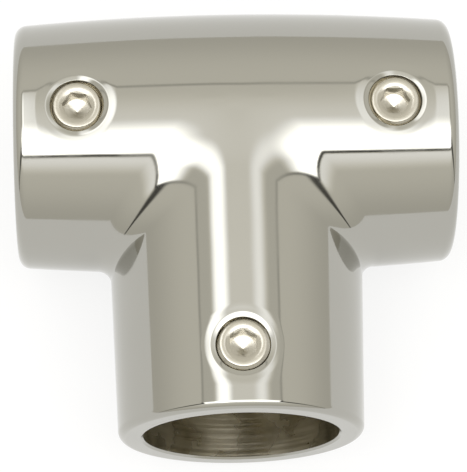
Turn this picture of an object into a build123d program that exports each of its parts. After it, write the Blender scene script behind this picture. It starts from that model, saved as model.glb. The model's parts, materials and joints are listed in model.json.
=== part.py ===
"""Tube clamp tee: a one-piece cast tee for round rail tube, held by three set screws.

Frame: the run lies along X and the branch points along -Y. The origin is where the two centre
lines cross. The set screws face +Z, so the fitting lies on its back. Millimetres.
"""

import os
from math import sqrt

from build123d import *

# Tube that the fitting takes
tube_diameter = 22.2
tube_clearance = 0.3          # on the diameter

# Casting
run_length = 50.8
branch_reach = 35.5           # run centre line to branch mouth
run_wall_middle = 4.0         # the run is a barrel, thickest at its middle
run_wall_end = 2.95
branch_wall_root = 3.85       # the branch tapers from the run's centre line to its mouth
branch_wall_mouth = 2.85
run_rim_radius = 1.4          # rounding of the run's two outer rims
mouth_rim_radius = 0.9        # rounding of the branch's outer rim
bore_chamfer = 0.25           # lead-in at each of the three mouths
core_relief = 0.3             # the cored junction is this much wider, in radius, than the sockets
core_reach = 12.5             # the junction's reach from the crossing along each arm
groin_radius = 2.2            # fillet where the branch meets the run

# Set screws with a hexagon socket and a cup point
screw_diameter = 6.0
screw_length = 3.0
screw_face_chamfer = 0.35
screw_point_chamfer = 0.5
socket_flats = 3.0
socket_depth = 2.0
socket_mouth_diameter = 3.7   # shallow countersink round the hexagon
socket_mouth_depth = 0.15
socket_drill_diameter = 2.8   # drill cone below the hexagon
socket_cone_depth = 0.4
cup_diameter = 3.0
cup_depth = 0.3
tip_clearance = 0.1           # the tip stays this far outside the bore
thread_clearance = 0.05       # radial, between screw and hole
countersink_width = 0.55      # 45 degree countersink of each screw hole, at the crest of the tube
screw_from_run_end = 7.3
screw_from_mouth = 7.2

# Sizes that follow
bore_radius = (tube_diameter + tube_clearance) / 2
run_radius_middle = bore_radius + run_wall_middle
run_radius_end = bore_radius + run_wall_end
branch_radius_root = bore_radius + branch_wall_root
branch_radius_mouth = bore_radius + branch_wall_mouth
half_run = run_length / 2
screw_radius = screw_diameter / 2
hole_radius = screw_radius + thread_clearance
tip_height = bore_radius + tip_clearance
face_height = tip_height + screw_length
core_radius = bore_radius + core_relief
barrel_bulge = run_radius_middle - run_radius_end
barrel_arc_radius = (half_run**2 + barrel_bulge**2) / (2 * barrel_bulge)

# Each screw's place, and the angle at which its hexagon has come to rest
screw_places = {
    "left": (screw_from_run_end - half_run, 0, -8),
    "right": (half_run - screw_from_run_end, 0, 0),
    "branch": (0, screw_from_mouth - branch_reach, 30),
}


def crest_height(x, y):
    """Height of the outer surface above the centre lines, on the crest where a screw goes in."""
    if y == 0:
        return run_radius_middle - barrel_arc_radius + sqrt(barrel_arc_radius**2 - x**2)
    return branch_radius_root + (branch_radius_mouth - branch_radius_root) * -y / branch_reach


os.makedirs("parts", exist_ok=True)

# Tee body: barrel-shaped run, tapering branch, filleted groin, bores and screw holes
with BuildPart() as tee_body:
    with BuildSketch(Plane.XY):
        with BuildLine():
            ThreePointArc(
                (-half_run, run_radius_end), (0, run_radius_middle), (half_run, run_radius_end)
            )
            Polyline(
                (half_run, run_radius_end), (half_run, 0), (-half_run, 0), (-half_run, run_radius_end)
            )
        make_face()
        fillet(vertices().group_by(Axis.Y)[-1], run_rim_radius)
    revolve(axis=Axis.X)

    with BuildSketch(Plane.XY):
        with BuildLine():
            Polyline(
                (0, 0),
                (branch_radius_root, 0),
                (branch_radius_mouth, -branch_reach),
                (0, -branch_reach),
                close=True,
            )
        make_face()
        fillet(vertices().sort_by(Axis.Y)[:2].sort_by(Axis.X)[-1], mouth_rim_radius)
    revolve(axis=Axis.Y)
    groin = edges().filter_by(GeomType.BSPLINE).sort_by(SortBy.LENGTH)[-1]
    fillet(groin, groin_radius)

    # Machined sockets from the three mouths, and the slightly wider cored junction between them
    for radius, run_half, branch_end in (
        (bore_radius, half_run, branch_reach),
        (core_radius, core_reach, core_reach),
    ):
        with BuildSketch(Plane.YZ.offset(-run_half)):
            Circle(radius)
        extrude(amount=2 * run_half, mode=Mode.SUBTRACT)
        with BuildSketch(Plane.XZ):
            Circle(radius)
        extrude(amount=branch_end, mode=Mode.SUBTRACT)
    mouths = edges().filter_by(GeomType.CIRCLE).filter_by(
        lambda rim: abs(rim.radius - bore_radius) < 0.001
        and max(abs(rim.arc_center.X) - half_run, -rim.arc_center.Y - branch_reach) > -0.001
    )
    chamfer(mouths, bore_chamfer)

    for x, y, _ in screw_places.values():
        with BuildSketch(Plane.XY):
            with Locations((x, y)):
                Circle(hole_radius)
        extrude(amount=run_radius_middle, mode=Mode.SUBTRACT)
        with Locations((x, y, crest_height(x, y))):
            Cone(
                hole_radius,
                hole_radius + countersink_width,
                countersink_width,
                align=(Align.CENTER, Align.CENTER, Align.MAX),
                mode=Mode.SUBTRACT,
            )
tee_body.part.label = "tee_body"
export_step(tee_body.part, "parts/tee_body.step")

# Set screws: three alike, each in its own hole
for side, (x, y, turn) in screw_places.items():
    with BuildPart() as set_screw:
        with BuildSketch(Plane((x, y, 0), x_dir=(1, 0, 0), z_dir=(0, -1, 0))):
            with BuildLine():
                Polyline(
                    (0, tip_height + cup_depth),
                    (cup_diameter / 2, tip_height),
                    (screw_radius - screw_point_chamfer, tip_height),
                    (screw_radius, tip_height + screw_point_chamfer),
                    (screw_radius, face_height - screw_face_chamfer),
                    (screw_radius - screw_face_chamfer, face_height),
                    (0, face_height),
                    close=True,
                )
            make_face()
        revolve(axis=Axis((x, y, 0), (0, 0, 1)))
        with BuildSketch(Plane((x, y, face_height))):
            RegularPolygon(socket_flats / 2, 6, major_radius=False, rotation=turn)
        extrude(amount=-socket_depth, mode=Mode.SUBTRACT)
        with Locations((x, y, face_height)):
            Cone(
                0,
                socket_mouth_diameter / 2,
                socket_mouth_depth,
                align=(Align.CENTER, Align.CENTER, Align.MAX),
                mode=Mode.SUBTRACT,
            )
        with Locations((x, y, face_height - socket_depth)):
            Cone(
                0,
                socket_drill_diameter / 2,
                socket_cone_depth,
                align=(Align.CENTER, Align.CENTER, Align.MAX),
                mode=Mode.SUBTRACT,
            )
    name = f"set_screw_{side}"
    set_screw.part.label = name
    export_step(set_screw.part, f"parts/{name}.step")
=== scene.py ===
"""Looks of the tube clamp tee fitting: a hand-polished cast tee and its three set screws."""

import json
import math

import bpy
import numpy as np
from mathutils import Matrix, Vector

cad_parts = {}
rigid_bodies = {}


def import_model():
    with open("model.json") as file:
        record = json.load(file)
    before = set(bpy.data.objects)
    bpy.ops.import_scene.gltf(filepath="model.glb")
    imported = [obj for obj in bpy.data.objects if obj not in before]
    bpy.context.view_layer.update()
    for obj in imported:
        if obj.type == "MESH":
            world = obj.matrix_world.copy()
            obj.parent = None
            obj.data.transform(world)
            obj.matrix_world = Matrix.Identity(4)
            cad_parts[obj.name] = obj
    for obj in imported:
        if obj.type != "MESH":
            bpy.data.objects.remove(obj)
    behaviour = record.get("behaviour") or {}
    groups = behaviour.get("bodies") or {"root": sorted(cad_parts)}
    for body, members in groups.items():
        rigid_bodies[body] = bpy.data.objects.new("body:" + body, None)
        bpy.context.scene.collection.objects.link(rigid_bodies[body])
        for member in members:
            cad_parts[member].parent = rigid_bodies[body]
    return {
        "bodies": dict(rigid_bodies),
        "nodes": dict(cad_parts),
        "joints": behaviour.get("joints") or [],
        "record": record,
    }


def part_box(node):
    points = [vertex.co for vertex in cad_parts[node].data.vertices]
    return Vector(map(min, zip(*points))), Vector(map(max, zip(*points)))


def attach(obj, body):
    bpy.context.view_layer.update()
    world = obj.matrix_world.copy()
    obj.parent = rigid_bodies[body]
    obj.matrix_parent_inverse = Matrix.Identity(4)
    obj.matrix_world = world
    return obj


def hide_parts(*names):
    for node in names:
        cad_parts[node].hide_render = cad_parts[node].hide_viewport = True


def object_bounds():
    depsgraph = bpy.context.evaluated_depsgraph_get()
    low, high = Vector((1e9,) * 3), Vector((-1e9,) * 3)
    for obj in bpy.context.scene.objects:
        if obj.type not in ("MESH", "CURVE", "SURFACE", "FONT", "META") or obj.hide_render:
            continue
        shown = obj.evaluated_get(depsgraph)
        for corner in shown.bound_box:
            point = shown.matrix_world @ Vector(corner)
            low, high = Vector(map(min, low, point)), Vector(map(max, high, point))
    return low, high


MM = 0.001

# ---------------------------------------------------------------- studio

CAMERA_PLACE = (-12.227, -114.220, 329.331)      # mm, in the part's frame
CAMERA_TURN = (-0.3029, 0.0317, 0.0234)          # rotation vector, world to camera
CAMERA_LENS = 225.07                             # mm on a 36 mm sensor
FLOOR_HALF = 6.0                                 # m
PAPER = (0.90, 0.90, 0.89, 1)
PAPER_GLOW = 0.8                                 # share of plain white that eye and metal see

# Light tent. Places overhead lie in the plane one unit above the part.
LEVEL = 1.1                                      # of the whole tent
WALL_LEVELS = (0.70, 0.90)                       # at the horizon and towards the ceiling
LIP_GLOW = 0.55                                  # of the wall just outside the front edge
CEILING = 0.80                                   # inside the opening, before its lamps
OPENING_ACROSS = (-0.72, 0.70)
OPENING_ALONG = (-0.50, 0.68)
OPENING_SOFT = 0.025
FRAME_WIDTH = 0.055                              # dark frame round the opening
FRAME_SHADES = (0.35, 0.97)                      # of that frame at the back and at the front
FRONT_LAMP = 2.3
LEFT_LAMP = 1.4
RIGHT_LAMP = 0.55
SEAM_SHADE = 0.88                                # dark seams at the front corners
SEAM_SKEW = 1.9
SEAM_HALF = 0.10
WARM = (1.0, 0.975, 0.89, 1)                     # tint of all but the brightest light
WHITE = (1.0, 1.0, 1.0, 1)


def add_camera():
    """The photograph's view."""
    data = bpy.data.cameras.new("studio_camera")
    data.lens = CAMERA_LENS
    data.sensor_width = 36.0
    data.clip_start = 0.01
    data.clip_end = 20.0
    camera = bpy.data.objects.new("studio_camera", data)
    bpy.context.scene.collection.objects.link(camera)
    turn = Vector(CAMERA_TURN)
    rotation = Matrix.Rotation(turn.length, 3, turn).transposed().to_4x4()
    camera.matrix_world = Matrix.Translation(Vector(CAMERA_PLACE) * MM) @ rotation
    bpy.context.scene.camera = camera


class Tree:
    """Small helper that adds nodes and links them by socket."""

    def __init__(self, owner):
        owner.use_nodes = True
        self.tree = owner.node_tree
        self.tree.nodes.clear()

    def node(self, kind, **settings):
        made = self.tree.nodes.new(kind)
        for key, value in settings.items():
            setattr(made, key, value)
        return made

    def link(self, output, socket):
        self.tree.links.new(output, socket)

    def feed(self, socket, value):
        if isinstance(value, bpy.types.NodeSocket):
            self.link(value, socket)
        else:
            socket.default_value = value

    def math(self, operation, a, b=0.0, clamp=False):
        made = self.node("ShaderNodeMath", operation=operation, use_clamp=clamp)
        for socket, value in zip(made.inputs, (a, b)):
            self.feed(socket, value)
        return made.outputs[0]

    def step(self, value, low, high, to_low=0.0, to_high=1.0):
        """Smooth ramp of value from low to high, mapped to to_low..to_high."""
        made = self.node("ShaderNodeMapRange", interpolation_type="SMOOTHSTEP")
        numbers = (low, high, to_low, to_high)
        self.feed(made.inputs[0], value)
        for socket, number in zip(list(made.inputs)[1:5], numbers):
            socket.default_value = number
        return made.outputs[0]

    def mix_colour(self, factor, a, b):
        made = self.node("ShaderNodeMix", data_type="RGBA")
        self.feed(made.inputs[0], factor)
        self.feed(made.inputs[6], a)
        self.feed(made.inputs[7], b)
        return made.outputs[2]


def band(tree, value, low, high, soft):
    """1 between low and high, falling to 0 over soft on each side."""
    rise = tree.step(value, low - soft, low + soft)
    fall = tree.step(value, high - soft, high + soft, 1.0, 0.0)
    return tree.math("MULTIPLY", rise, fall)


def add_world():
    """A light tent: pale walls with dark corner seams, and an overhead opening with soft lamps."""
    world = bpy.data.worlds.new("studio_world")
    bpy.context.scene.world = world
    t = Tree(world)
    direction = t.node("ShaderNodeTexCoord").outputs["Generated"]
    parts = t.node("ShaderNodeSeparateXYZ")
    t.link(direction, parts.inputs[0])
    dx, dy, dz = parts.outputs
    # the plane overhead, kept finite near the horizon
    up = t.math("MAXIMUM", dz, 0.02)
    px = t.math("DIVIDE", dx, up)
    py = t.math("DIVIDE", dy, up)
    wide = t.math("ABSOLUTE", px)
    # walls: darker at the horizon, brighter towards the ceiling, brightest over the front lip
    wall = t.step(dz, -0.02, 0.75, *WALL_LEVELS)
    lip = t.math("MULTIPLY", t.step(py, -1.05, -0.56, 0.0, LIP_GLOW), t.step(py, -0.50, -0.56))
    lip = t.math("MULTIPLY", lip, t.step(wide, 1.2, 0.7))
    wall = t.math("ADD", wall, lip)
    # dark seams from the corners of the opening down to the horizon, on the front side
    skew = t.math("ADD", t.math("ABSOLUTE", dx), t.math("MULTIPLY", dy, SEAM_SKEW))
    skew = t.math("DIVIDE", skew, t.step(dz, 0.0, 0.9, 0.5, 2.2))
    seam = t.math("MULTIPLY", band(t, skew, -SEAM_HALF, SEAM_HALF, 0.06), t.step(dy, 0.0, -0.12))
    seam = t.math("MULTIPLY", seam, SEAM_SHADE)
    wall = t.math("MULTIPLY", wall, t.math("SUBTRACT", 1.0, seam))
    # overhead opening with its dark frame
    inside = opening(t, px, py, 0.0)
    frame = t.math("SUBTRACT", opening(t, px, py, FRAME_WIDTH), inside, clamp=True)
    dark = t.step(py, 0.3, -0.4, *FRAME_SHADES)
    shade = t.math("SUBTRACT", 1.0, t.math("MULTIPLY", frame, dark))
    front = t.math("MULTIPLY", t.step(py, 0.10, -0.26), FRONT_LAMP)
    left = t.math("MULTIPLY", band(t, px, -0.43, -0.20, 0.07), LEFT_LAMP)
    right = t.math("MULTIPLY", band(t, px, 0.25, 0.43, 0.09), RIGHT_LAMP)
    side = t.math("MULTIPLY", t.math("ADD", left, right), t.step(py, 0.9, 0.35))
    centre = t.math("MULTIPLY", t.step(wide, 0.55, 0.25), t.step(py, 0.62, 0.05, 0.12, 0.42))
    glow = t.math("ADD", t.math("ADD", side, centre), t.math("ADD", front, CEILING))
    lit = t.math("MULTIPLY", glow, inside)
    rest = t.math("MULTIPLY", wall, t.math("SUBTRACT", 1.0, inside))
    total = t.math("MULTIPLY", t.math("ADD", lit, rest), shade)
    total = t.math("MULTIPLY", total, LEVEL)
    tint = t.mix_colour(t.step(total, 1.0, 1.7), WARM, WHITE)
    background = t.node("ShaderNodeBackground")
    t.link(tint, background.inputs["Color"])
    t.link(total, background.inputs["Strength"])
    output = t.node("ShaderNodeOutputWorld")
    t.link(background.outputs[0], output.inputs["Surface"])


def opening(t, px, py, grow):
    """1 inside the overhead opening grown by that much, in the plane overhead."""
    low, high = OPENING_ACROSS
    across = band(t, px, low - grow, high + grow, OPENING_SOFT)
    low, high = OPENING_ALONG
    along = band(t, py, low - grow, high + grow, OPENING_SOFT)
    return t.math("MULTIPLY", across, along)


def add_floor(low):
    """White paper that looks plain white to eye and metal, and still takes the shadow."""
    mesh = bpy.data.meshes.new("studio_floor")
    side = FLOOR_HALF
    corners = [(-side, -side, low), (side, -side, low), (side, side, low), (-side, side, low)]
    mesh.from_pydata(corners, [], [(0, 1, 2, 3)])
    floor = bpy.data.objects.new("studio_floor", mesh)
    bpy.context.scene.collection.objects.link(floor)
    material = bpy.data.materials.new("studio_paper")
    t = Tree(material)
    paper = t.node("ShaderNodeBsdfDiffuse")
    paper.inputs["Color"].default_value = PAPER
    white = t.node("ShaderNodeEmission")
    path = t.node("ShaderNodeLightPath")
    seen = t.math("ADD", path.outputs["Is Camera Ray"], path.outputs["Is Glossy Ray"])
    seen = t.math("ADD", seen, path.outputs["Is Transmission Ray"], clamp=True)
    mix = t.node("ShaderNodeMixShader")
    t.link(t.math("MULTIPLY", seen, PAPER_GLOW), mix.inputs[0])
    t.link(paper.outputs[0], mix.inputs[1])
    t.link(white.outputs[0], mix.inputs[2])
    output = t.node("ShaderNodeOutputMaterial")
    t.link(mix.outputs[0], output.inputs["Surface"])
    mesh.materials.append(material)


# ---------------------------------------------------------------- shape of the casting (mm)

HALF_RUN = 25.4
RUN_MIDDLE = 15.25           # outside radius of the barrel at its middle and at its ends
RUN_END = 14.2
REACH = 35.5                 # centre line to branch mouth
BRANCH_ROOT = 15.1           # outside radius of the branch at the centre line and at its mouth
BRANCH_MOUTH = 14.1
BARREL_ARC = (HALF_RUN ** 2 + (RUN_MIDDLE - RUN_END) ** 2) / (2 * (RUN_MIDDLE - RUN_END))
TAPER = (BRANCH_ROOT - BRANCH_MOUTH) / REACH
RUN_RIM = 1.4
MOUTH_RIM = 0.9
GROIN_SIDE = 1.9             # tangent length of the groin blend at the sides and at the crest
GROIN_CREST = 3.2
GROIN_HEIGHT = 15            # height at which the blend has its full length
BRANCH_FADE = 0.25           # closes the branch's skin behind the centre line
NEAR_PARALLEL = 0.9995       # largest cosine between the two skins that the blend reckons with
TINY = 1e-9                  # keeps lengths above 0
BORE = 11.25
CORE = 11.55
CORE_REACH = 12.5
BORE_CHAMFER = 0.25
HOLE = 3.05
SCREW_X = 18.1
SCREW_Y = -28.3
FACE_HEIGHT = 14.35
TIP_HEIGHT = 11.35
PITCH = 1.0

COLUMNS = 184                # round each arm
PATCH_COLUMNS = 10           # half width of the patch round a screw hole, in columns
PATCH_ROWS = 20
PATCH_REACH = 5.0            # half length of that patch on the skin and in the socket
SOCKET_PATCH_REACH = 4.6
SKIN_ROWS = {"right": 30, "left": 30, "branch": 40}      # from the crossing to the patch
SKIN_BUNCHING = 1.25         # above 1 these rows lie closer near the crossing
SOCKET_ROWS = {"right": 3, "left": 3, "branch": 22}      # from the cored junction to the patch
WALL_ROWS = 37               # down a threaded hole
ARM_SEARCH = (9, 40)         # distances from a centre line between which its skin lies
CREST_SEARCH = (8, 18)       # heights between which the crest lies
HALVINGS = 42
WELDS_PER_MM = 2e4           # points that round to the same step are one

DISH = 0.06                  # polishing sinks the skin this much round each screw hole
DISH_EDGE = 4.7              # radius at which the dish starts, and the width it deepens over
DISH_WIDTH = 1.1
BEVEL_START = 3.62
BEVEL_SLOPE = 0.33
BEVEL_BLEND = 0.01           # square millimetres, rounds the bevel's start
BEVEL_EDGE = 4.6             # radius at which the bevel is nil, and the width it sets in over
BEVEL_WIDTH = 0.5
EDGE_END = 3.13              # where the bevel turns down into the hole
# radii of the rings from the patch's border down to the hole
MOUTH_RINGS = (4.5, 4.3, 4.1, 3.95, 3.8, 3.7, 3.6, 3.5, 3.4, 3.3, 3.2, EDGE_END)
FOOT_RING = 3.35             # ring round the hole in the wall of the socket
ROOT_RADIUS = 2.62
THREAD_DEPTH = 0.36
THREAD_GAP = 0.07            # between the screw's thread and the hole's
FLANK = 1.35                 # steepness of the thread's flanks
ROOT_FLAT = 0.12             # above 0 it flattens the thread's root
THREAD_START = 0.05          # bare length at each end of a hole, and the length over which
THREAD_FADE = 0.4            # the thread then deepens

# material slots of the casting and of a screw
POLISHED, END_FACE, RUN_SOCKET, BRANCH_SOCKET, CORED, TAPPED = range(6)
FACE, SOCKET, THREADED = range(3)


def barrel_radius(x):
    """Outside radius of the run, an arc along its length."""
    return RUN_MIDDLE - BARREL_ARC + np.sqrt(BARREL_ARC ** 2 - x ** 2)


def branch_radius(y):
    """Outside radius of the branch, a straight taper. y is negative along it."""
    return BRANCH_ROOT + TAPER * y


def skin(p):
    """Below 0 inside the casting's outside shape, with the groin blended by a rolling ball."""
    x, y, z = p[..., 0], p[..., 1], p[..., 2]
    round_run = np.hypot(y, z) + TINY
    round_branch = np.hypot(x, z) + TINY
    run = round_run - barrel_radius(x)
    branch = round_branch - branch_radius(y) + BRANCH_FADE * np.maximum(y, 0) ** 2
    cosine = np.clip(z * z / (round_run * round_branch), 0, NEAR_PARALLEL)
    rise = np.clip(np.abs(z) / GROIN_HEIGHT, 0, 1)
    tangent = GROIN_SIDE + (GROIN_CREST - GROIN_SIDE) * rise ** 2
    ball = tangent * np.sqrt((1 + cosine) / (1 - cosine))
    a = np.maximum(ball - run, TINY)
    b = np.maximum(ball - branch, TINY)
    blended = (a * cosine < b) & (b * cosine < a)
    square = np.maximum(a * a + b * b - 2 * a * b * cosine, 0) / (1 - cosine ** 2)
    return np.where(blended, ball - np.sqrt(square), np.minimum(run, branch))


def unit(v):
    """Vectors scaled to length 1."""
    return v / np.linalg.norm(v, axis=-1, keepdims=True)


def skin_normal(p, h=1e-3):
    """Outward normal of the skin, from differences over h."""
    slopes = [skin(p + h * axis) - skin(p - h * axis) for axis in np.eye(3)]
    return unit(np.stack(slopes, -1))


def leave(start, way, low, high):
    """Distance along each ray at which it leaves the skin."""
    low = np.full(way.shape[:-1], float(low))
    high = np.full(way.shape[:-1], float(high))
    for _ in range(HALVINGS):
        middle = (low + high) / 2
        outside = skin(start + way * middle[..., None]) > 0
        high = np.where(outside, middle, high)
        low = np.where(outside, low, middle)
    return (low + high) / 2


class Shell:
    """Collects grids of quads with a normal at each corner, then welds them into one mesh."""

    def __init__(self):
        self.points, self.faces, self.normals, self.slots = [], [], [], []
        self.count = 0

    def grid(self, points, normals, slot, keep=None):
        """Rows x columns x 3 points that close round an axis. Normals of None make flat quads."""
        rows, columns = points.shape[:2]
        index = np.arange(rows * columns).reshape(rows, columns)
        index = np.concatenate([index, index[:, :1]], 1)
        quads = np.stack([index[:-1, :-1], index[1:, :-1], index[1:, 1:], index[:-1, 1:]], -1)
        if keep is not None:
            quads = quads[keep]
        quads = quads.reshape(-1, 4)
        flat = points.reshape(-1, 3)
        corner = flat[quads]
        across = np.cross(corner[:, 2] - corner[:, 0], corner[:, 3] - corner[:, 1])
        if normals is None:
            corner_normals = np.repeat(unit(across + 1e-12)[:, None], 4, 1)
        else:
            corner_normals = normals.reshape(-1, 3)[quads]
        backward = (across * corner_normals.sum(1)).sum(-1) < 0
        quads[backward] = quads[backward][:, ::-1]
        corner_normals[backward] = corner_normals[backward][:, ::-1]
        self.points.append(flat)
        self.faces.append(quads + self.count)
        self.normals.append(corner_normals)
        self.slots.append(np.full(len(quads), slot))
        self.count += len(flat)

    def mesh(self, name, materials, place=(0, 0, 0)):
        """Welds the grids. A quad with two equal corners becomes a triangle."""
        points = np.concatenate(self.points) + np.array(place)
        faces = np.concatenate(self.faces)
        normals = np.concatenate(self.normals)
        slots = np.concatenate(self.slots)
        key = np.round(points * WELDS_PER_MM).astype(np.int64)
        _, first, inverse = np.unique(key, axis=0, return_index=True, return_inverse=True)
        faces = inverse.reshape(-1)[faces]
        points = points[first]
        keep_corner = faces != np.roll(faces, -1, 1)
        whole = keep_corner.sum(1) >= 3
        faces, normals, slots, keep_corner = (a[whole] for a in (faces, normals, slots, keep_corner))
        lists = [row[kept].tolist() for row, kept in zip(faces, keep_corner)]
        made = bpy.data.meshes.new(name)
        made.from_pydata((points * MM).tolist(), [], lists)
        for material in materials:
            made.materials.append(material)
        made.polygons.foreach_set("material_index", slots.astype(np.int32))
        made.polygons.foreach_set("use_smooth", np.ones(len(lists), bool))
        made.normals_split_custom_set(normals[keep_corner].tolist())
        made.update()
        return made


def swap(points, arm):
    """Arm coordinates (along, across, height) to x, y, z. arm is right, left or branch."""
    along, across, height = points[..., 0], points[..., 1], points[..., 2]
    if arm == "branch":
        return np.stack([across, -along, height], -1)
    return np.stack([along if arm == "right" else -along, across, height], -1)


def swap_back(points, arm):
    """x, y, z to arm coordinates."""
    x, y, z = points[..., 0], points[..., 1], points[..., 2]
    if arm == "branch":
        return np.stack([-y, x, z], -1)
    return np.stack([x if arm == "right" else -x, y, z], -1)


def ring_angles(count):
    """Cosine and sine of that many equal steps round an axis."""
    angle = 2 * np.pi * np.arange(count) / count
    return np.cos(angle), np.sin(angle)


def circle(hole, radius, count):
    """Plan points (along, across) of a ring round a screw hole."""
    cosine, sine = ring_angles(count)
    return np.stack([hole + radius * cosine, radius * sine], -1)


def crossing(across, arm):
    """Where each column of an arm meets the other arms, along it, at a radius of 1."""
    return np.abs(across) if arm == "branch" else np.maximum(-across, 0)


def spread(stops, counts, power=1.0):
    """Stations through the stops, with counts steps between them. power bunches the first span."""
    parts = [np.linspace(a, b, n + 1)[:-1] for a, b, n in zip(stops, stops[1:], counts)]
    first = np.linspace(0, 1, counts[0] + 1)[:-1] ** power
    parts[0] = stops[0] + (stops[1] - stops[0]) * first
    return np.append(np.concatenate(parts), stops[-1])


def rim(arm):
    """Rounded outer rim, from its tangent point to the flat end: along, radius and normal."""
    if arm == "branch":
        radius, slope = MOUTH_RIM, math.atan(TAPER)
        centre_along = REACH - radius
        centre_round = branch_radius(-centre_along) - radius / math.cos(slope)
    else:
        radius = RUN_RIM
        centre_along = HALF_RUN - radius
        chord = math.sqrt((BARREL_ARC - radius) ** 2 - centre_along ** 2)
        centre_round = RUN_MIDDLE - BARREL_ARC + chord
        slope = math.asin(centre_along / (BARREL_ARC - radius))
    angle = np.linspace(slope, math.pi / 2, 9)
    sine, cosine = np.sin(angle), np.cos(angle)
    return centre_along + radius * sine, centre_round + radius * cosine, sine, cosine


def turned(along, radius, n_along, n_round):
    """Points and normals of a surface of revolution about an arm, rows x columns."""
    across, height = ring_angles(COLUMNS)

    def stack(a, r):
        a, r = np.broadcast_to(a, np.shape(along)), np.broadcast_to(r, np.shape(along))
        a = np.repeat(a[:, None], COLUMNS, 1)
        return np.stack([a, r[:, None] * across, r[:, None] * height], -1)

    return stack(along, radius), stack(n_along, n_round)


def block(first):
    """The quads under a screw hole, and the points round them as rows and columns."""
    top = COLUMNS // 4
    near, far = top - PATCH_COLUMNS, top + PATCH_COLUMNS
    last = first + PATCH_ROWS
    rows = np.concatenate([
        np.full(top - near, last), np.arange(last, first, -1), np.full(far - near, first),
        np.arange(first, last), np.full(far - top, last),
    ])
    columns = np.concatenate([
        np.arange(top, near, -1), np.full(PATCH_ROWS, near), np.arange(near, far),
        np.full(PATCH_ROWS, far), np.arange(far, top, -1),
    ])
    return (slice(first, last), slice(near, far)), (rows, columns)


def keep_outside(shape, cut):
    """Mask that leaves out the quads under a screw hole."""
    keep = np.ones(shape, bool)
    keep[cut] = False
    return keep


def outside(shell, arm, hole):
    """Outer skin of one arm with the patch round its screw hole. Returns the hole's top ring."""
    across, height = ring_angles(COLUMNS)
    rim_along, rim_radius, n_along, n_round = rim(arm)
    end = rim_along[0]
    way = unit(np.stack([crossing(across, arm), across, height], -1))
    start = way[:, 0] * leave(np.zeros(3), swap(way, arm), *ARM_SEARCH)
    counts = (SKIN_ROWS[arm], PATCH_ROWS, 3)
    stops = (0, hole - PATCH_REACH, hole + PATCH_REACH, end)
    stations = spread(stops, counts, SKIN_BUNCHING) / end
    along = start + (end - start) * stations[:, None]
    zero = np.zeros_like(along)
    spoke = np.stack([zero, zero + across, zero + height], -1)
    middle = np.stack([along, zero, zero], -1)
    radius = leave(swap(middle, arm), swap(spoke, arm), *ARM_SEARCH)
    points = swap(middle + spoke * radius[..., None], arm)
    normals = skin_normal(points)
    cut, border = block(counts[0])
    keep = keep_outside((len(stations) - 1, COLUMNS), cut)
    shell.grid(points, normals, POLISHED, keep)
    ring, ring_normals = turned(rim_along, rim_radius, n_along, n_round)
    shell.grid(swap(ring, arm), swap(ring_normals, arm), POLISHED)
    return hole_mouth(shell, arm, hole, points[border], normals[border])


def crest(plan, arm):
    """Height of the skin above the plan points (along, across)."""
    base = np.concatenate([plan, np.zeros_like(plan[..., :1])], -1)
    up = np.zeros_like(base)
    up[..., 2] = 1
    return leave(swap(base, arm), up, *CREST_SEARCH)


def smooth(value):
    """Smooth step from 0 to 1 as the value goes from 0 to 1."""
    value = np.clip(value, 0, 1)
    return value * value * (3 - 2 * value)


def sunk(plan, hole):
    """How far polishing has rolled the skin down towards the screw hole."""
    r = np.hypot(plan[..., 0] - hole, plan[..., 1])
    dish = DISH * smooth((DISH_EDGE - r) / DISH_WIDTH)
    inward = BEVEL_START - r
    rounded = inward + np.sqrt(inward ** 2 + BEVEL_BLEND)
    bevel = BEVEL_SLOPE * 0.5 * rounded * smooth((BEVEL_EDGE - r) / BEVEL_WIDTH)
    return dish + bevel


def hole_mouth(shell, arm, hole, border, border_normals):
    """Rolled-off skin, bevel and rounded edge round a screw hole. Returns its innermost ring."""
    count = len(border)
    local = swap_back(border, arm)[:, :2]
    rings = [circle(hole, radius, count) for radius in MOUTH_RINGS]
    plan = np.stack([local, (local + rings[0]) / 2] + rings)

    def lowered(p):
        return crest(p, arm) - sunk(p, hole)

    h = 1e-3
    step_a, step_b = np.array([h, 0]), np.array([0, h])
    tilt_a = (lowered(plan + step_a) - lowered(plan - step_a)) / (2 * h)
    tilt_b = (lowered(plan + step_b) - lowered(plan - step_b)) / (2 * h)
    normals = unit(np.stack([-tilt_a, -tilt_b, np.ones_like(tilt_a)], -1))
    points = np.concatenate([plan, lowered(plan)[..., None]], -1)
    points = swap(points, arm)
    normals = swap(normals, arm)
    points[0], normals[0] = border, border_normals
    shell.grid(points, normals, POLISHED)
    # rounded edge, from the bevel down into the hole
    cosine, sine = ring_angles(count)
    inward = swap(np.stack([-cosine, -sine, 0 * sine], -1), arm)
    radius = EDGE_END - HOLE
    angle = np.linspace(0, np.pi / 2, 5)[:, None, None]
    down = np.array([0, 0, -1.0])
    edge = points[-1] + radius * (np.sin(angle) * inward + (1 - np.cos(angle)) * down)
    edge_normals = unit(np.cos(angle) * normals[-1] + np.sin(angle) * inward)
    shell.grid(edge, edge_normals, POLISHED)
    return edge[-1]


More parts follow.
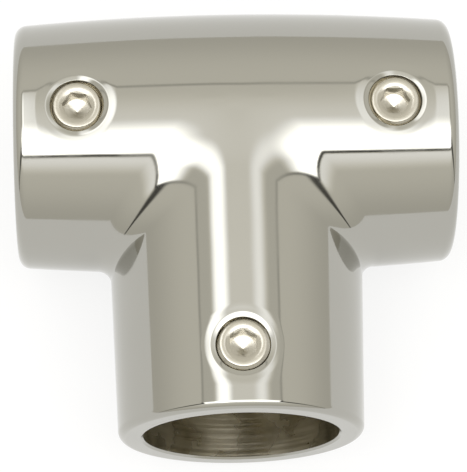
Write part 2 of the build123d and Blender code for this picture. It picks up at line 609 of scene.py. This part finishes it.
def inside(shell, arm, hole):
    """Flat end, lead-in, machined socket, step and cored junction of one arm."""
    across, height = ring_angles(COLUMNS)
    end = REACH if arm == "branch" else HALF_RUN
    rim_radius = rim(arm)[1][-1]
    mouth = end - BORE_CHAMFER
    slant = math.sqrt(0.5)
    spans = (
        ([end, end], [rim_radius, BORE + BORE_CHAMFER], 1, 0, END_FACE),
        ([end, mouth], [BORE + BORE_CHAMFER, BORE], slant, -slant, END_FACE),
        ([CORE_REACH, CORE_REACH], [BORE, CORE], -1, 0, CORED),
    )
    for along, radius, n_along, n_round, slot in spans:
        ring, normals = turned(along, radius, n_along, n_round)
        shell.grid(swap(ring, arm), swap(normals, arm), slot)
    counts = (SOCKET_ROWS[arm], PATCH_ROWS, 6)
    stops = (CORE_REACH, hole - SOCKET_PATCH_REACH, hole + SOCKET_PATCH_REACH, mouth)
    stations = spread(stops, counts)
    wall, normals = turned(stations, BORE, 0, -1)
    cut, border = block(counts[0])
    slot = BRANCH_SOCKET if arm == "branch" else RUN_SOCKET
    keep = keep_outside((len(stations) - 1, COLUMNS), cut)
    shell.grid(swap(wall, arm), swap(normals, arm), slot, keep)
    near = CORE * crossing(across, arm)
    along = near + (CORE_REACH - near) * np.linspace(0, 1, 15)[:, None]
    zero = np.zeros_like(along)
    core = np.stack([along, CORE * across + zero, CORE * height + zero], -1)
    core_normals = np.stack([zero, zero - across, zero - height], -1)
    shell.grid(swap(core, arm), swap(core_normals, arm), CORED)
    return hole_foot(shell, arm, hole, wall[border], slot)


def hole_foot(shell, arm, hole, border, slot):
    """Wall of the socket round a screw hole. Returns the hole's own ring."""
    local = border[:, :2]
    ring = circle(hole, FOOT_RING, len(border))
    plan = np.stack([local, (local + ring) / 2, ring, circle(hole, HOLE, len(border))])
    z = np.sqrt(BORE ** 2 - plan[..., 1] ** 2)
    points = np.concatenate([plan, z[..., None]], -1)
    points[0] = border
    normals = np.concatenate([0 * plan[..., :1], -plan[..., 1:], -z[..., None]], -1)
    shell.grid(swap(points, arm), swap(unit(normals), arm), slot)
    return swap(points[-1], arm)


def tooth(z, angle):
    """Thread form from 0 at the root to 1 at the crest, at a height and an angle."""
    turn = (z / PITCH - angle / (2 * np.pi)) % 1
    return np.clip(FLANK * np.abs(2 * turn - 1) - ROOT_FLAT, 0, 1)


def sweep_normals(points, toward):
    """Smooth normals of a closed grid by differences, turned to face the given way."""
    rows = np.gradient(points, axis=0)
    columns = np.roll(points, -1, 1) - np.roll(points, 1, 1)
    normals = unit(np.cross(rows, columns))
    facing = np.sign((normals * toward).sum(-1, keepdims=True))
    return normals * np.where(facing == 0, 1, facing)


def tapped_wall(shell, arm, hole, top, foot):
    """The hole's wall with its internal thread, from the mouth's ring to the bore's ring."""
    axis = swap(np.array([hole, 0.0, 0.0]), arm)
    fraction = np.linspace(0, 1, WALL_ROWS)[:, None]
    z = top[:, 2] + (foot[:, 2] - top[:, 2]) * fraction
    way = unit((top - axis) * np.array([1, 1, 0]))
    angle = np.arctan2(way[:, 1], way[:, 0])
    thread = ROOT_RADIUS + THREAD_DEPTH * tooth(z, angle) + THREAD_GAP
    ends = np.minimum(top[:, 2] - z, z - foot[:, 2])
    radius = HOLE + (np.minimum(thread, HOLE) - HOLE) * smooth((ends - THREAD_START) / THREAD_FADE)
    points = axis + way * radius[..., None]
    points[..., 2] = z
    points[0], points[-1] = top, foot
    shell.grid(points, sweep_normals(points, -way), TAPPED)


def casting(materials):
    """The whole casting: three arms that weld where they cross."""
    shell = Shell()
    for arm, hole in (("right", SCREW_X), ("left", SCREW_X), ("branch", -SCREW_Y)):
        top = outside(shell, arm, hole)
        foot = inside(shell, arm, hole)
        tapped_wall(shell, arm, hole, top, foot)
    return shell.mesh("polished_tee", materials)


# ---------------------------------------------------------------- set screws (mm)

FACE_EDGE = 2.62
FACE_CREST = 2.3
FACE_CURVE = 0.4             # the face falls by this times the square of the distance from its crest
SOCKET_FLATS = 3.0
SOCKET_DEPTH = 2.0
DRILL_RADIUS = 1.42
CONE_DEPTH = 0.45
POINT_RADIUS = 2.5
CUP_RADIUS = 1.5
CUP_DEPTH = 0.3
SCREW_COLUMNS = 120
SCREW_ROWS = 46              # down the thread


def face_drop(r):
    """How far the slightly domed face lies below its crest at a radius."""
    return FACE_CURVE * (r - FACE_CREST) ** 2


def set_screw(name, place, turn, materials):
    """A short threaded set screw with a hexagon socket and a cup point, face at z = 0."""
    shell = Shell()
    angle = math.radians(turn) + 2 * np.pi * np.arange(SCREW_COLUMNS) / SCREW_COLUMNS
    cosine, sine = np.cos(angle), np.sin(angle)
    sector = (angle - math.radians(turn)) % (np.pi / 3) - np.pi / 6
    hexagon = SOCKET_FLATS / 2 / np.cos(sector)
    length = FACE_HEIGHT - TIP_HEIGHT

    def rings(radius, z):
        radius = np.asarray(radius, float)
        radius = radius if radius.ndim > 1 else radius[:, None]
        z = np.asarray(z, float)
        z = z if z.ndim > 1 else z[:, None]
        radius, z = np.broadcast_arrays(radius + 0 * cosine, z + 0 * cosine)
        return np.stack([radius * cosine, radius * sine, z], -1)

    def add(points, slot, toward=None):
        normals = None if toward is None else sweep_normals(points, toward)
        shell.grid(points, normals, slot)

    floor = -SOCKET_DEPTH
    up = np.array([0, 0, 1.0])
    radial = np.stack([cosine, sine, 0 * cosine], -1)
    cone = np.linspace(0, 1, 7)
    steep = CONE_DEPTH / DRILL_RADIUS
    cone_points = rings(DRILL_RADIUS * cone, floor - CONE_DEPTH * (1 - cone))
    cone_normals = np.broadcast_to(unit(up - steep * radial), cone_points.shape)
    shell.grid(cone_points, cone_normals, SOCKET)
    add(rings(np.stack([DRILL_RADIUS + 0 * hexagon, hexagon]), [floor, floor]), SOCKET)
    mouth = -face_drop(hexagon)
    depth = np.linspace(0, 1, 6)[:, None]
    add(rings(hexagon[None] + 0 * depth, floor + (mouth - floor) * depth), SOCKET)
    share = np.linspace(0, 1, 11)[:, None]
    radius = hexagon + (FACE_EDGE - hexagon) * share
    face = rings(radius, -face_drop(radius))
    lean = 2 * FACE_CURVE * (radius - FACE_CREST)
    face_normals = unit(up + lean[..., None] * radial)
    shell.grid(face, face_normals, FACE)
    edge = -face_drop(FACE_EDGE)
    z = np.linspace(edge, -length, SCREW_ROWS)[:, None] + 0 * cosine
    thread = ROOT_RADIUS + THREAD_DEPTH * tooth(z + FACE_HEIGHT, angle)
    side = np.minimum(thread, np.minimum(FACE_EDGE + edge - z, POINT_RADIUS + z + length))
    add(rings(side, z), THREADED, radial)
    add(rings([POINT_RADIUS, CUP_RADIUS], [-length, -length]), THREADED)
    hollow = np.linspace(1, 0, 5)
    add(rings(CUP_RADIUS * hollow, -length + CUP_DEPTH * (1 - hollow)), THREADED, -up)
    return shell.mesh(name, materials, place)


# ---------------------------------------------------------------- materials

STEEL = (0.412, 0.405, 0.369, 1)
TURNED = (0.62, 0.58, 0.47, 1)
SCREW = (0.50, 0.475, 0.41, 1)
EVEN = (1, 1, 1)             # the same grain along every axis


def grain(t, stretch, scale, detail=2.0):
    """Noise in object coordinates, stretched per axis. scale is in cycles per metre."""
    where = t.node("ShaderNodeTexCoord").outputs["Object"]
    stretched = t.node("ShaderNodeVectorMath", operation="MULTIPLY")
    t.link(where, stretched.inputs[0])
    stretched.inputs[1].default_value = stretch
    noise = t.node("ShaderNodeTexNoise")
    t.link(stretched.outputs[0], noise.inputs["Vector"])
    noise.inputs["Scale"].default_value = scale
    noise.inputs["Detail"].default_value = detail
    return noise.outputs["Fac"]


def metal(name, colour, layers, roughness):
    """Metal with bump layers (stretch, scale, detail, depth in m) and a roughness range."""
    material = bpy.data.materials.new(name)
    t = Tree(material)
    shader = t.node("ShaderNodeBsdfPrincipled")
    shader.inputs["Base Color"].default_value = colour
    shader.inputs["Metallic"].default_value = 1.0
    normal = None
    for stretch, scale, detail, depth in layers:
        bump = t.node("ShaderNodeBump")
        bump.inputs["Distance"].default_value = depth
        t.link(grain(t, stretch, scale, detail), bump.inputs["Height"])
        if normal is not None:
            t.link(normal, bump.inputs["Normal"])
        normal = bump.outputs[0]
    t.link(normal, shader.inputs["Normal"])
    patches = grain(t, EVEN, 180, 3.0)
    t.link(t.step(patches, 0.35, 0.65, *roughness), shader.inputs["Roughness"])
    output = t.node("ShaderNodeOutputMaterial")
    t.link(shader.outputs[0], output.inputs["Surface"])
    return material


def polished_steel():
    """Mirror polish by hand: long soft waves and a faint haze of fine scratches."""
    layers = [(EVEN, 110, 1.0, 3.5e-5), (EVEN, 3500, 2.0, 4e-7)]
    return metal("polished_cast_stainless", STEEL, layers, (0.05, 0.09))


def end_steel():
    """Faced ends and lead-ins of the three mouths."""
    layers = [(EVEN, 300, 1.0, 8e-6), (EVEN, 4000, 2.0, 1e-6)]
    return metal("polished_rim_stainless", STEEL, layers, (0.14, 0.20))


def socket_steel(along):
    """Turned bore: grooves round the axis that runs along x or y."""
    ring = (1, 0.01, 0.01) if along == "x" else (0.01, 1, 0.01)
    fine = (1, 0.03, 0.03) if along == "x" else (0.03, 1, 0.03)
    layers = [(ring, 1500, 1.0, 5e-5), (fine, 6000, 2.0, 8e-6), (EVEN, 200, 1.0, 3e-5)]
    return metal("turned_stainless_" + along, TURNED, layers, (0.20, 0.34))


def cored_steel():
    """As-cast junction that no tool reaches."""
    layers = [(EVEN, 500, 2.0, 1.2e-4), (EVEN, 2500, 3.0, 5e-5)]
    return metal("as_cast_stainless", TURNED, layers, (0.45, 0.60))


def tapped_steel():
    """Cut thread in the screw holes."""
    layers = [((0.2, 0.2, 1), 5000, 2.0, 8e-6)]
    return metal("tapped_stainless", TURNED, layers, (0.28, 0.40))


def screw_steel():
    """Cold-formed face, lightly scuffed."""
    layers = [(EVEN, 900, 2.0, 2.2e-5), (EVEN, 6000, 2.0, 1.5e-6)]
    return metal("screw_stainless", SCREW, layers, (0.16, 0.28))


def broached_steel():
    """Socket walls and drilled floor, with the broach's strokes along z."""
    layers = [((1, 1, 0.08), 3500, 2.0, 1.2e-5), (EVEN, 1200, 2.0, 3e-5)]
    return metal("broached_stainless", SCREW, layers, (0.20, 0.34))


def rolled_steel():
    """Thread and point of a screw."""
    layers = [((0.3, 0.3, 1), 5000, 2.0, 5e-6)]
    return metal("thread_stainless", SCREW, layers, (0.24, 0.36))


# ---------------------------------------------------------------- build

# centre of each screw's face (mm), and the angle its hexagon has come to rest at (degrees)
SCREWS = {
    "set_screw_left": ((-SCREW_X, 0, FACE_HEIGHT), -8),
    "set_screw_right": ((SCREW_X, 0, FACE_HEIGHT), 0),
    "set_screw_branch": ((0, SCREW_Y, FACE_HEIGHT), 30),
}


def stay_in_box(mesh, node):
    """Trims the hundredth of a millimetre by which the blend lifts the crest above the CAD box."""
    low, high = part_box(node)
    points = np.zeros(len(mesh.vertices) * 3)
    mesh.vertices.foreach_get("co", points)
    points = np.clip(points.reshape(-1, 3), np.array(low), np.array(high))
    mesh.vertices.foreach_set("co", points.ravel())
    mesh.update()


def show(mesh, name, node):
    """Puts a mesh in the scene, riding on its CAD node and shown in its place."""
    piece = bpy.data.objects.new(name, mesh)
    bpy.context.scene.collection.objects.link(piece)
    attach(piece, node)
    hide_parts(node)


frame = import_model()
cad_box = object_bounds()

bpy.context.scene.view_settings.view_transform = "Standard"
add_camera()
add_world()
add_floor(cad_box[0][2])
body_steels = [
    polished_steel(), end_steel(), socket_steel("x"), socket_steel("y"), cored_steel(),
    tapped_steel(),
]
screw_steels = [screw_steel(), broached_steel(), rolled_steel()]
tee = casting(body_steels)
stay_in_box(tee, "tee_body")
show(tee, "polished_tee", "tee_body")
for node, (place, turn) in SCREWS.items():
    screw = set_screw(node + "_part", place, turn, screw_steels)
    show(screw, node + "_part", node)
